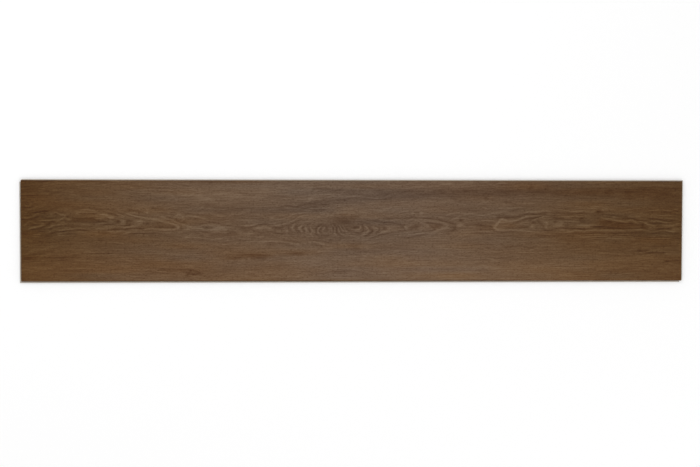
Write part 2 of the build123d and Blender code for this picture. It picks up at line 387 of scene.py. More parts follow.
    (0.14, 0.9, (543, 221.6), (546, 223.6), (545.4, 227), (548, 229.4)),
    (-0.12, 1.2, (546, 226.6), (550.4, 225.4)),
    (-0.12, 0.8, (543, 230.5), (550, 230.2), (556, 228.6), (562, 228), (568, 228.2)),
    (0.12, 0.8, (555, 230.8), (563, 230.2), (571, 230.8)),
    (0.08, 0.8, (557.6, 219.8), (560.6, 221), (561.6, 223.4), (559, 225.4)),
    (-0.1, 0.9, (550, 217), (558, 218.4), (561, 218), (566, 219.2), (570, 219.4), (575, 218.4)),
    (-0.12, 0.7, (570, 217.4), (577, 217.4)),
    (0.11, 0.7, (562, 220.6), (570, 221.6), (577, 221.4)),
    (0.22, 0.9, (575, 225.8), (580, 225.5), (586, 225.2), (602, 225)),
    (-0.12, 0.9, (590, 226.9), (600, 226.9), (609, 226.8)),
    (-0.08, 1.1, (566, 228.6), (582, 228.6), (592, 228.3), (608, 228.4)),
    (0.2, 0.8, (566, 231.8), (572, 231.6), (577, 230.9), (592, 230.7), (626, 230.5)),
    (0.2, 0.8, (625, 230.5), (634, 230.4), (642, 230.2), (648, 231), (651, 232.2)),
    (-0.15, 0.7, (572, 233.4), (614, 233.3), (657, 233.4)),
    (-0.12, 0.7, (612, 233.4), (624, 233.4)),
    (0.14, 0.7, (575.6, 236.4), (633, 236.4)),
    (-0.08, 0.6, (592, 235.4), (628, 235.4)),
    (-0.08, 0.6, (591, 237.4), (632, 237.4)),
    (0.12, 0.7, (591, 238.4), (635, 238.4)),
    (0.08, 0.7, (591, 234.4), (632, 234.5)),
    (0.22, 0.9, (601.6, 209.4), (604, 210), (606.4, 210)),
    (0.14, 0.8, (601.4, 208.4), (604, 207.4), (607, 207.8), (608, 209)),
    (0.12, 0.8, (604, 213.4), (608, 213.4), (612, 213.6)),
    (0.12, 0.7, (601, 215.6), (605, 215.4)),
    (-0.16, 0.8, (601, 214.4), (605, 214.4), (609, 215.4), (613, 215.5), (616, 216.4), (622, 216.6),
     (627, 216.8)),
    (-0.14, 0.8, (599.6, 212.4), (604, 211.8)),
    (0.14, 0.7, (611, 217.6), (616.4, 217.4)),
    (-0.13, 0.7, (607.6, 217.4), (612, 217.5)),
    (0.22, 0.9, (599, 217), (604, 218.5), (609, 219), (613, 220.2), (618, 220.6), (623, 221.6),
     (625.4, 221.6), (628, 220.5), (632, 220.4), (635, 221), (638.4, 223.2)),
    (0.14, 1, (638, 220.6), (642, 221.8), (646, 223.4), (649, 226), (651.4, 229)),
    (-0.2, 0.8, (620, 218.2), (626, 218.4), (631, 218.4), (635, 219.3), (640, 220.4), (648, 220.4)),
    (-0.2, 0.9, (647, 221.6), (651, 222.7), (655, 223.2), (660, 223.2), (664, 223.6)),
    (-0.16, 0.9, (606, 222.4), (611, 222.3), (618, 222.4), (625, 223.2)),
    (-0.14, 0.9, (627, 223.4), (631, 223), (634, 223.6), (637, 225)),
    (-0.18, 1.2, (643.4, 223.8), (642.6, 226), (643.8, 228.2), (648.6, 228.8)),
    (-0.15, 0.8, (606, 228.3), (618, 228.3), (630, 228.9), (641, 228.5)),
    (0.1, 0.8, (636, 217.6), (641, 218.4), (647, 219)),
    (0.22, 0.9, (648, 224.6), (653, 225), (660, 225.3), (666, 225.7), (671, 225.5), (674.6, 224.8),
     (677, 223.6), (680.6, 223.6)),
    (0.2, 0.8, (654, 215), (658, 215.5), (666, 215.5), (672, 215.4)),
    (0.17, 0.8, (649, 220.6), (653, 221.2), (657, 221), (661, 222.2), (666, 222.3), (672, 222.2)),
    (0.14, 0.7, (663.6, 218.4), (672.6, 218.4)),
    (-0.24, 0.8, (647, 218.4), (653, 218.8), (658, 219.6), (662, 220.5), (666, 221), (669, 221.4),
     (672, 220.4)),
    (-0.15, 0.7, (663.6, 219.3), (673, 219.4)),
    (-0.14, 0.7, (655.6, 214.4), (660, 214.4), (665, 214.2)),
    (0.18, 0.7, (647.6, 210.5), (656.4, 210.5)),
    (0.18, 0.7, (663.6, 210.5), (672.4, 210.4)),
    (-0.17, 0.7, (663.6, 211.6), (668, 211.5), (673, 211.2)),
    (-0.13, 0.7, (647.6, 209.4), (656, 209.4)),
    (-0.12, 0.7, (647.6, 211.5), (656, 211.5)),
    (0.14, 0.7, (671.6, 209.4), (677, 209.4)),
    (-0.14, 0.7, (640, 217.4), (648.4, 217.3)),
    (-0.17, 0.8, (655, 229.8), (659, 229.2), (663, 228.6), (667, 228.5), (670, 228.6), (672, 227)),
    (0.12, 0.8, (652, 228.4), (656, 228.2), (660, 227.8)),
    (0.14, 0.9, (672, 229.4), (676, 228.5), (681, 228.6)),
    (0.2, 0.8, (651.4, 231.8), (654, 231.4), (659, 231.3), (662, 230.6), (667, 230.5), (671, 231.4),
     (675.6, 231.4)),
    (-0.22, 0.8, (655.6, 232.6), (659, 232.5), (661.6, 231.9), (664.4, 231.4), (667, 232.3),
     (672.4, 232.6)),
    (-0.13, 0.7, (674, 233.4), (680, 233.4)),
    (0.13, 0.7, (647.6, 236.5), (672.4, 236.2)),
    (-0.11, 0.7, (648, 237.4), (660, 237.6), (672, 237.5)),
    (0.11, 0.7, (648, 238.5), (656, 238.4), (672, 238.5)),
    (0.18, 0.7, (567.6, 211.6), (572, 211.5), (577, 211.6)),
    (0.12, 0.7, (576, 211.6), (584, 211.6)),
    (0.16, 0.9, (585, 211.8), (589, 212.4), (592, 212.4), (593.6, 211.4)),
    (-0.13, 0.7, (576, 213.5), (584, 213.5)),
    (0.12, 0.7, (576, 214.4), (584.4, 214.4)),
    (-0.13, 0.7, (576.4, 215.5), (584.4, 215.4)),
    (0.11, 0.8, (560, 216), (566, 216.5), (576, 216.4), (587, 216.3)),
    (0.14, 0.7, (591.6, 206.5), (596, 206.5), (600, 206.4)),
    (0.12, 0.7, (591.6, 208.4), (598, 208.4)),
    (-0.2, 0.8, (642, 250.6), (650, 250.7)),
    (-0.18, 0.8, (644, 253), (654, 253.3), (666, 253)),
    (0.11, 0.6, (646, 251.8), (660, 251.4), (674, 251.6)),
    (-0.14, 0.7, (664, 261.4), (672, 261.3), (681, 261.2)),
    (-0.14, 0.8, (510, 247), (518, 246.4), (528, 247)),
    (0.1, 0.7, (503, 244.6), (514, 243.4), (526, 244.2)),
    (-0.09, 0.7, (560, 247.4), (580, 247.2), (600, 247.6)),
    (0.1, 0.6, (616, 201.3), (632, 201.4)),
    (-0.1, 0.7, (606, 196.6), (622, 196.4)),
    (-0.09, 0.7, (504, 202), (520, 202.4)),
    (0.14, 0.8, (480, 203.4), (485, 202), (489, 201.4)),
    (0.1, 0.7, (438, 184.8), (444, 184), (452, 183.4)),
    (0.08, 0.7, (482, 207), (494, 208), (508, 208.2), (524, 206.8)),
    (-0.11, 1.5, (295, 206.6), (304, 205), (311, 203.6), (318, 202.8)),
    (-0.14, 0.9, (319, 202.6), (322, 204.6), (328, 204.2)),
    (-0.15, 0.9, (302, 208.4), (311, 207), (318, 206.6)),
    (-0.16, 1, (312, 211), (318, 209.6), (327, 209.6)),
    (-0.12, 1.1, (324, 200.6), (333, 200), (341, 199.4), (352, 198.8), (368, 199.2), (392, 199.4)),
    (0.13, 1, (307, 199.4), (313, 197.6), (319, 197)),
    (0.1, 0.8, (303, 201.6), (310, 200.2), (317, 199.4)),
    (0.1, 0.7, (314, 194.6), (324, 194), (334, 194.6)),
    (0.13, 0.7, (337, 195.2), (341, 193), (343.4, 190.8)),
    (-0.11, 1, (311, 190.2), (320, 188.6), (332, 190), (341, 189.4)),
    (-0.12, 0.8, (327, 211.6), (330.6, 213), (333, 210)),
    (-0.1, 0.8, (283, 205), (290, 206), (297, 206.6)),
    (-0.1, 0.7, (281, 239), (288, 240.8), (296, 242.2), (306, 245.4)),
    (0.1, 0.7, (279, 240.6), (290, 243), (300, 245)),
    (0.1, 0.7, (306, 241.6), (314, 242.4), (322, 244.6), (332, 246.4)),
    (-0.1, 0.7, (304, 243.4), (314, 244.6), (324, 247.4)),
    (-0.1, 0.7, (311, 240.4), (320, 241.4), (330, 243.6), (340, 245.2)),
    (-0.1, 0.7, (276, 243.6), (286, 244.2), (296, 246.8)),
    # Darker line one pixel inside the top edge of the face.
    (-0.13, 0.8, (20, 181), (60, 181.3), (110, 181.1)),
    (-0.1, 0.7, (62, 187.6), (70, 188.4), (76, 187.8)),
    (-0.1, 0.7, (44, 190.6), (56, 191.4), (66, 191.6)),
    (-0.08, 0.7, (104, 192.2), (112, 193), (116, 195.6)),
    (0.08, 0.7, (104, 195), (109, 196.8), (113, 199.4)),
    (-0.12, 1.1, (158, 269.8), (172, 270), (186, 269.4), (191.6, 271.4)),
    (-0.12, 1.1, (191, 270), (195, 271), (199, 272.4), (197, 274.2), (194.4, 274.6), (192, 273.4)),
    (0.09, 0.7, (60, 268.8), (76, 268.9), (90, 268.6)),
    (-0.08, 0.6, (54, 271.6), (72, 271.4), (90, 271.9)),
    (-0.13, 0.8, (41, 257.6), (60, 257.8), (82, 257.7)),
    (-0.08, 0.6, (80, 253.4), (96, 253.8), (114, 253.2)),
    (0.09, 0.7, (84, 252.2), (104, 252)),
    (0.09, 0.7, (87, 255.2), (100, 255), (116, 254.4)),
]

# Stained or pale patches: across, down, half length, half width, tone, redness
PATCHES = [
    (90, 220.4, 18, 2.4, -0.1, 0.9),
    (118.6, 221.6, 2.4, 2, -0.22, 0.3),
    (130, 222.6, 3.4, 1.8, -0.16, 0.1),
    (138.6, 221.6, 4.8, 1.6, 0.19, 0),
    (139, 224.8, 4.6, 1.4, 0.17, 0),
    (133.4, 226.1, 2.8, 1, 0.2, 0),
    (178.2, 227.2, 2.2, 1.7, 0.16, 0),
    (146.6, 223.4, 1.3, 1, -0.11, 0),
    (172.6, 226.4, 1.8, 1, -0.14, 0),
    (146.6, 212, 1.4, 1.2, 0.12, 0),
    (187, 229.6, 1.8, 1, 0.11, 0),
    (185, 227, 1.6, 1.2, -0.08, 0),
    (168.4, 213.4, 2.2, 1.2, 0.07, 0),
    (156, 213.2, 5, 1.4, 0.06, 0),
    (123.6, 222, 2.2, 1.8, 0.1, 0),
    (77.4, 214, 1.5, 1.5, 0.17, 0),
    (67.6, 216.8, 1.8, 0.9, -0.19, 0.1),
    (55, 213.8, 1.5, 0.9, -0.18, 0.1),
    (51.4, 229.2, 1.7, 1.1, -0.18, 0.1),
    (50.2, 224, 1.4, 1.6, -0.1, 0),
    (50.4, 214.6, 2.8, 1.6, 0.06, 0),
    (27.6, 231.8, 3, 1, -0.09, 0),
    (111, 221.6, 2.2, 1.2, 0.1, 0),
    (111.6, 217.6, 2.2, 1, 0.12, 0),
    (117.6, 218.8, 1.6, 0.9, 0.09, 0),
    (560.4, 222.2, 1.3, 1.2, 0.08, 0),
    (609.2, 222.4, 1.7, 0.8, -0.12, 0.2),
    (645.4, 223.2, 1.7, 1, 0.12, 0),
    (629.4, 216.6, 1.8, 0.8, 0.15, 0),
    (651.4, 216.6, 1.8, 0.9, 0.11, 0),
    (679, 220.4, 1.8, 0.8, 0.16, 0),
    (679.8, 222.2, 1.4, 0.9, -0.14, 0),
    (679.8, 226.6, 1.6, 1.1, -0.2, 0.2),
    (656.6, 226.6, 1.6, 0.8, -0.11, 0),
    (158, 225, 15, 2.2, -0.06, 0.1),
    (146, 222.5, 3.5, 2.5, -0.05, 0),
    (207, 227.3, 5, 1.1, -0.09, 0.2),
    (212, 229.8, 6, 1.8, 0.08, 0),
    (219, 228.4, 8, 2.6, 0.08, 0),
    (245, 229, 7, 2.4, -0.1, 0),
    (259, 228.4, 7, 1.9, 0.08, -0.2),
    (276, 228.2, 4, 1.2, -0.05, 0),
    (272, 218.2, 1.8, 1.2, 0.18, 0.1),
    (240.2, 233.2, 2, 1.4, 0.1, 0),
    (251.6, 233.6, 3, 1, 0.08, 0),
    (284, 229.4, 3, 3, -0.05, 0),
    (319.5, 238.6, 4, 1.6, -0.04, 0),
    (341.5, 220.2, 12, 4.4, -0.13, 0.4),
    (340, 229, 48, 7, -0.05, 0),
    (341, 219.8, 9, 1.6, -0.04, 0.2),
    (353.5, 217.6, 2.6, 2.6, -0.06, 0.4),
    (344, 214.5, 8, 1.6, 0.03, 0.9),
    (345, 210.5, 14, 3.5, 0.04, 0.4),
    (354, 227.2, 2.6, 1, -0.08, 0),
    (402.2, 226.4, 1.8, 1.2, -0.18, 0),
    (404.8, 227.6, 2, 1.6, 0.28, -0.3),
    (392, 230, 8, 2.4, 0.05, 0.2),
    (415, 226, 4, 2.4, -0.12, 0.2),
    (434.5, 226.8, 5.5, 2.6, -0.1, 0.9),
    (423, 227.6, 4.5, 2.4, 0.06, 0),
    (460.8, 220.3, 2, 1.1, -0.3, 0),
    (459, 217.4, 5, 1.6, 0.07, 0),
    (459.5, 225.6, 3.4, 3.2, 0.13, 0.1),
    (502.8, 221, 2.6, 2.4, 0.12, 0.3),
    (511, 226, 10, 2.6, -0.05, 0.8),
    (506, 217.4, 7, 1.2, -0.1, 0.2),
    (534, 222.8, 2.2, 1.1, -0.18, 0.2),
    (532.6, 226.2, 2, 2, 0.18, 0.4),
    (524, 227, 4, 1.2, -0.04, 0.5),
    (556.6, 221.8, 1.9, 1.2, -0.2, 0),
    (558, 225, 4.5, 2.8, 0.08, 0),
    (545, 222.6, 2.4, 1.6, 0.1, 0),
    (567, 225.4, 5, 3, -0.07, -0.2),
    (581.4, 218.2, 2.8, 1.1, -0.28, 0.2),
    (583, 221.4, 5, 2.2, -0.1, -0.5),
    (596, 227, 7, 1.2, -0.06, -0.3),
    (603, 221, 6, 4, -0.07, 0.8),
    (622, 225.8, 19, 3, -0.13, 0.8),
    (642.4, 226.4, 2.4, 2, -0.07, 0.5),
    (597.6, 211.7, 2.2, 1.5, -0.24, 0.5),
    (638.6, 250.6, 2.4, 1.1, -0.28, 0.1),
    (660, 253, 6, 0.8, -0.1, 0),
    (663, 243.8, 7, 1.8, -0.11, 0.3),
    (666.6, 261.4, 2.4, 0.9, -0.2, 0),
    (190.6, 272, 1.8, 1.2, -0.05, 0.2),
    (189.2, 275, 1.7, 1.7, -0.25, 0.2),
    (198.8, 272.6, 1.4, 1, -0.08, 0.2),
    (191.6, 272.8, 9, 3.6, -0.01, -0.3),
    (194.4, 274.2, 2.6, 1.2, -0.12, 0.3),
    (199.4, 279.4, 1, 0.8, -0.12, 0.2),
    (188.6, 266.8, 3.4, 1.3, 0.1, 0),
    (180.5, 275.4, 3, 2.4, 0.06, 0),
    (229, 258.2, 9, 1.6, -0.12, 0.4),
    (250, 256.4, 18, 2.4, -0.11, 0.7),
    (264, 256.2, 11, 2.4, -0.07, 0.5),
    (240, 227, 38, 5, 0.045, 0),
    (515, 225, 16, 3.2, 0.03, 0.2),
    (256, 254.8, 12, 1, -0.05, 0.2),
    (252, 257, 30, 5, -0.03, 0.4),
    (297, 254, 6, 1.2, -0.1, 0.2),
    (297, 253.8, 13, 2.2, -0.09, 0.3),
    (28, 258.9, 5.6, 1.4, -0.17, 0.4),
    (35.5, 257.2, 6, 1, -0.12, 0.3),
    (507.6, 246.6, 4.8, 1.1, -0.13, 0.6),
    (442.6, 193.2, 4, 1.1, -0.08, 0),
    (406, 190.6, 7, 1.2, -0.1, 0),
    (379, 190.6, 3.4, 1, -0.1, 0),
    (468, 190.9, 7, 1, -0.09, 0),
    (487, 193.6, 4, 0.9, -0.12, 0),
    (484.6, 197.9, 2, 1.4, -0.13, 0),
    (455, 198.8, 1.6, 1, -0.16, 0),
    (420.8, 212.6, 1.8, 1.2, 0.2, 0),
    (416, 212.4, 2.2, 0.9, -0.1, 0),
    (413, 212.8, 1.6, 1.2, 0.18, 0),
    (530.4, 187.6, 1.6, 2.2, -0.12, 0),
    (534, 192, 9, 2, -0.05, 0),
    (610.2, 190, 3.4, 1.4, -0.09, 0.2),
    (607, 193, 1.8, 1, -0.14, 0.2),
    (629, 195, 4, 6, -0.07, 0.2),
    (664, 192.4, 2, 0.9, -0.14, 0),
    (568, 243, 2, 1.4, -0.08, 0),
    (656, 268, 3, 0.9, -0.1, 0),
    (650, 257, 12, 5, 0.04, 0.2),
    (30, 189, 8, 4, -0.05, 0),
    (270, 210, 50, 4, -0.04, -0.6),
    (190, 194, 80, 8, 0.04, 0.1),
    (565, 208, 30, 6, 0.04, 0),
    (520, 268, 100, 12, 0.07, 0),
    (30, 186, 30, 8, -0.02, 0),
    (38, 210, 24, 6, -0.03, 0),
    (90, 193, 28, 9, -0.03, 0),
    (470, 209, 70, 6, -0.03, 0),
    (34, 271, 24, 8, 0.065, 0.6),
    (445, 248, 32, 8, 0.04, 0),
    (38, 248, 24, 7, 0.035, 0),
    (475, 191, 48, 8, -0.035, 0),
    (570, 268, 34, 9, 0.02, -0.7),
    (205, 226, 26, 7, 0.03, -0.2),
    (667, 210.5, 14, 6, -0.05, 0),
    (215, 270, 90, 9, -0.035, 0),
    (500, 190, 60, 8, -0.03, 0),
    (330, 203, 40, 3, -0.05, -0.6),
    (345, 190.5, 35, 2.5, -0.07, -0.6),
    (440, 193, 70, 4, -0.12, -0.4),
    (400, 196.5, 50, 2, -0.05, -0.4),
    (520, 190, 40, 5, -0.06, 0.4),
    (600, 192, 60, 4.5, -0.1, 0.4),
    (655, 196, 40, 7, -0.06, 0.3),
    (356, 247, 6, 6, -0.09, 0.2),
    (366, 250, 20, 4, -0.03, 0.2),
    # Darker, redder strip along the top edge of the face.
    (210, 181.5, 60, 1.2, -0.09, 0.4),
    (225, 192, 60, 8, 0.03, 0.2),
    (290, 186, 50, 6, 0.03, 0.2),
]


def face_pixels(x, y, half_length, half_width):
    """Where the photograph shows points of the face, by the perspective that its four corners give."""
    face = np.array([(-1, 1), (1, 1), (1, -1), (-1, -1)]) * (half_length, half_width)
    shown = np.array([TOP_LEFT, TOP_RIGHT, BOTTOM_RIGHT, BOTTOM_LEFT])
    rows = []
    for (u, v), (across, down) in zip(face, shown):
        rows.append((u, v, 1, 0, 0, 0, -across * u, -across * v))
        rows.append((0, 0, 0, u, v, 1, -down * u, -down * v))
    a, b, c, d, e, f, g, h = np.linalg.solve(rows, shown.ravel())
    depth = g * x + h * y + 1
    return (a * x + b * y + c) / depth, (d * x + e * y + f) / depth


def eased(value):
    """Smooth step of a value that runs from 0 to 1."""
    return value * value * (3 - 2 * value)


def streaks(across, down, strength, length, width, seed):
    """Random smooth field of spread about strength, whose blotches are about length by width."""
    rng = np.random.default_rng(seed)
    lattice = rng.normal(size=(LATTICE_ROWS, LATTICE_COLUMNS)) * LATTICE_SPREAD
    shift = rng.uniform(0, LATTICE_COLUMNS, LATTICE_ROWS)
    rows = down / width
    first = np.floor(rows).astype(int)

    def along_row(row):
        row = row % LATTICE_ROWS
        place = across / length + shift[row]
        column = np.floor(place).astype(int)
        part = eased(place - column)
        start = lattice[row, column % LATTICE_COLUMNS]
        end = lattice[row, (column + 1) % LATTICE_COLUMNS]
        return start * (1 - part) + end * part

    part = eased(rows - first)
    return strength * (along_row(first) * (1 - part) + along_row(first + 1) * part)


def profile(where, places, column=1):
    """A column of a list of places, read at other places and smoothed over a few pixels."""
    line = np.arange(PHOTO_WIDTH + 1)
    values = np.interp(line, [place[0] for place in places], [place[column] for place in places])
    kernel = np.exp(-0.5 * (np.arange(-BLUR_REACH, BLUR_REACH + 1) / BLUR_SPREAD) ** 2)
    smooth = np.convolve(np.pad(values, BLUR_REACH, mode="edge"), kernel / kernel.sum(), mode="valid")
    return np.interp(where, line, smooth)


def ring_field(across, down):
    """Growth ring number of the figure, and the signed distance from its axis."""
    axis = profile(across, FIGURE_AXIS)
    ring = profile(across, FIGURE_AXIS, 2)
    aside = down - axis + streaks(across, down, *AXIS_SWAY)
    hold = np.exp(-((aside / FIGURE_REACH) ** 2))
    wander = streaks(across, down, *RING_WANDER) + streaks(across, down, *FAR_WANDER) * (1 - hold)
    out = (np.hypot(aside, NOSE_WIDTH) - NOSE_WIDTH) / RING_PITCH
    return FAR_RING + (ring - FAR_RING) * hold + out + wander, aside


def blob(across, down, centre_across, centre_down, half_length, half_width):
    """Soft oval spot, 1 at its centre."""
    spread = ((across - centre_across) / half_length) ** 2 + ((down - centre_down) / half_width) ** 2
    return np.exp(-spread)


def course(places):
    """Points on the smooth curve through the places of a printed line."""
    points = np.array(places, float)
    points = np.vstack([2 * points[0] - points[1], points, 2 * points[-1] - points[-2]])
    share = np.arange(COURSE_STEPS)[:, None] / COURSE_STEPS
    curve = []
    for before, start, end, after in zip(points, points[1:], points[2:], points[3:]):
        bend = (2 * before - 5 * start + 4 * end - after) * share ** 2
        twist = (3 * start - before - 3 * end + after) * share ** 3
        curve.append(start + ((end - before) * share + bend + twist) / 2)
    return np.vstack(curve + [points[-2:-1]])


def stroke(across, down, places, half_width):
    """Printed line along its course, 1 in its middle and fading towards its ends."""
    line = course(places)
    steps = np.hypot(*np.diff(line, axis=0).T)
    run = np.concatenate([[0], np.cumsum(steps)])
    left, top = line.min(0) - LINE_REACH
    right, bottom = line.max(0) + LINE_REACH
    near = (across > left) & (across < right) & (down > top) & (down < bottom)
    x, y = across[near], down[near]
    shade = np.zeros(x.shape)
    for (x0, y0), (x1, y1), start, step in zip(line, line[1:], run, steps):
        part = np.clip(((x - x0) * (x1 - x0) + (y - y0) * (y1 - y0)) / step ** 2, 0, 1)
        gap = np.hypot(x - x0 - part * (x1 - x0), y - y0 - part * (y1 - y0))
        passed = start + part * step
        fade = eased(np.clip(np.minimum(passed, run[-1] - passed) / END_FADE + END_SHARE, 0, 1))
        shade = np.maximum(shade, fade * np.exp(-((gap / half_width) ** 2)))
    drawn = np.zeros(across.shape)
    drawn[near] = shade
    return drawn


def printed_face(across, down):
    """Broad tone, redness, detail and height of the oak print at places of the face. The broad tone and
    redness also carry painted shade at the ends, a painted sheen in the middle and painted light at the
    bottom edge.
    """
    ring, aside = ring_field(across, down)
    pale = np.cos(2 * np.pi * ring)
    ring_tone = RING_TONE * pale + RING_EDGE_TONE * pale ** 3

    side = np.sign(aside) * ring * RING_SPAN
    wave = down + streaks(across, down, *FIBRE_SWAY)
    fibre = streaks(across, side, *RING_FIBRES)
    for noise in STRAIGHT_FIBRES:
        fibre += streaks(across, wave, *noise)

    # Broad tone: the print's own tone with painted shade at the ends, a painted sheen in the middle and
    # painted light at the bottom edge.
    tone = profile(across, TONE_AND_PAINTED_LIGHT_ALONG) + profile(down, TONE_AND_PAINTED_LIGHT_DOWN)
    detail = streaks(across, down, *DETAIL_CLOUDS)
    # Broad redness: the print's warmth with the same painted shade, sheen and light.
    redness = profile(across, WARMTH_AND_PAINTED_LIGHT_ALONG) + profile(down, WARMTH_AND_PAINTED_LIGHT_DOWN)
    redness += streaks(across, down, *WARMTH_CLOUDS)
    moved_across = across + streaks(across, down, *SWAY_ACROSS)
    moved_down = down + streaks(across, down, *SWAY_DOWN)
    for x, y, half_length, half_width, patch_tone, patch_redness in PATCHES:
        spot = blob(moved_across, moved_down, x, y, half_length, half_width)
        detail += patch_tone * spot
        redness += patch_redness * spot
    drawn = np.zeros_like(across)
    for line_tone, half_width, *places in LINES:
        line = stroke(moved_across, moved_down, places, LINE_WIDTH * half_width)
        drawn += LINE_STRENGTH * line_tone * line
    grain = fibre + ring_tone + LINE_LIMIT * np.tanh(drawn / LINE_LIMIT)
    return tone, redness, detail + grain, grain


def column_places(half_length):
    """Places of the grid's columns along the face, closer together where the figure has its rings."""
    line = np.linspace(-half_length, half_length, COLUMN_SAMPLES)
    across, down = face_pixels(line, 0 * line, half_length, half_length)
    density = 1 + DENSE_SHARE * np.exp(-(((across - DENSE_MIDDLE) / DENSE_REACH) ** 2))
    count = np.concatenate([[0], np.cumsum((density[1:] + density[:-1]) / 2)])
    return np.interp(np.linspace(0, count[-1], GRID_COLUMNS + 1), count, line)


def board_mesh(node):
    """Copy of the CAD plank whose decor face is a fine embossed grid, closed all round."""
    shape = bmesh.new()
    shape.from_mesh(node.data)
    bmesh.ops.remove_doubles(shape, verts=shape.verts, dist=WELD_DISTANCE)
    top = max(vert.co.z for vert in shape.verts)
    crown = [vert for vert in shape.verts if vert.co.z > top - WELD_DISTANCE]
    half_length = max(vert.co.x for vert in crown)
    half_width = max(vert.co.y for vert in crown)
    bmesh.ops.delete(shape, geom=crown, context="VERTS")
    rim = [vert for vert in shape.verts if vert.is_boundary]
    rim_length = max(vert.co.x for vert in rim)
    rim_width = max(vert.co.y for vert in rim)
    corner = {(vert.co.x > 0, vert.co.y > 0): vert for vert in rim}

    x, y = np.meshgrid(column_places(half_length), np.linspace(-half_width, half_width, GRID_ROWS + 1))
    across, down = face_pixels(x, y, rim_length, rim_width)
    tone, redness, detail, relief = printed_face(across, down)
    low, high = np.percentile(relief, RELIEF_SPAN)
    height = np.clip((relief - low) / (high - low), 0, 1)
    edge = np.minimum(half_length - np.abs(x), half_width - np.abs(y))
    depth = EMBOSS_DEPTH * (1 - height) * eased(np.clip(edge / FLAT_RIM, 0, 1))
    grid = [[shape.verts.new((x[r, c], y[r, c], top - depth[r, c])) for c in range(GRID_COLUMNS + 1)]
            for r in range(GRID_ROWS + 1)]
    decor = []
    for near, far in zip(grid, grid[1:]):
        for c in range(GRID_COLUMNS):
            decor.append(shape.faces.new((near[c], near[c + 1], far[c + 1], far[c])))
    left = [row[0] for row in grid]
    right = [row[-1] for row in grid]
    bevels = [
        (corner[False, False], corner[True, False], grid[0][::-1]),
        (corner[True, False], corner[True, True], right[::-1]),
        (corner[True, True], corner[False, True], grid[-1]),
        (corner[False, True], corner[False, False], left),
    ]
    for start, end, edge_verts in bevels:
        decor.append(shape.faces.new([start, end] + edge_verts))
    return shape, decor, {"tone": tone, "redness": redness, "detail": detail}


def fill(node, inputs):
    """Gives a node its inputs, each of them a value or another node's output."""
    for key, value in inputs.items():
        if isinstance(value, bpy.types.NodeSocket):
            node.id_data.links.new(value, node.inputs[key])
        else:
            node.inputs[key].default_value = value


def node_adder(tree):
    """Function that adds a node of some kind to a tree and returns one of its outputs."""
    def add(kind, output, inputs=None, **settings):
        node = tree.nodes.new("ShaderNode" + kind)
        for key, value in settings.items():
            setattr(node, key, value)
        fill(node, inputs or {})
        return node.outputs[output]

    return add


def new_material(name):
    """Node material, with its shader and a function that adds nodes to it."""
    material = bpy.data.materials.new(name)
    material.use_nodes = True
    return material, material.node_tree.nodes["Principled BSDF"], node_adder(material.node_tree)


def linear(red, green, blue):
    """Linear colour of a colour written as 0 to 255 on a screen, by the sRGB curve."""
    def one(value):
        value = value / 255
        return value / 12.92 if value <= 0.04045 else ((value + 0.055) / 1.055) ** 2.4

    return (one(red), one(green), one(blue), 1.0)


def coded(red, green, blue):
    """Ink that is seen as this colour under the wear layer's pale gloss, in even steps to the eye."""
    ink = [max(value - WEAR_LAYER_GLOSS, DARKEST_INK) for value in linear(red, green, blue)[:3]]
    return tuple(value ** (1 / PRINT_GAMMA) for value in ink) + (1.0,)


def math_node(add, operation, first, second):
    """Output of a math node whose inputs are outputs of other nodes or numbers."""
    return add("Math", "Value", {0: first, 1: second}, operation=operation)


def stretched_noise(add, coordinate, scale, detail, roughness):
    """Noise with so many cells a metre on each axis, which lets its grain run along the plank."""
    place = add("Mapping", "Vector", {"Vector": coordinate, "Scale": scale})
    return add("TexNoise", "Fac", {"Vector": place, "Scale": 1.0, "Detail": detail, "Roughness": roughness})


def ramp(add, place, stops):
    """Colour at a place of the ramp with the given (position, colour) stops."""
    colour = add("ValToRGB", "Color", {"Fac": place})
    elements = colour.node.color_ramp.elements
    while len(elements) < len(stops):
        elements.new(0.5)
    for element, (position, value) in zip(elements, stops):
        element.position = position
        element.color = value
    return colour


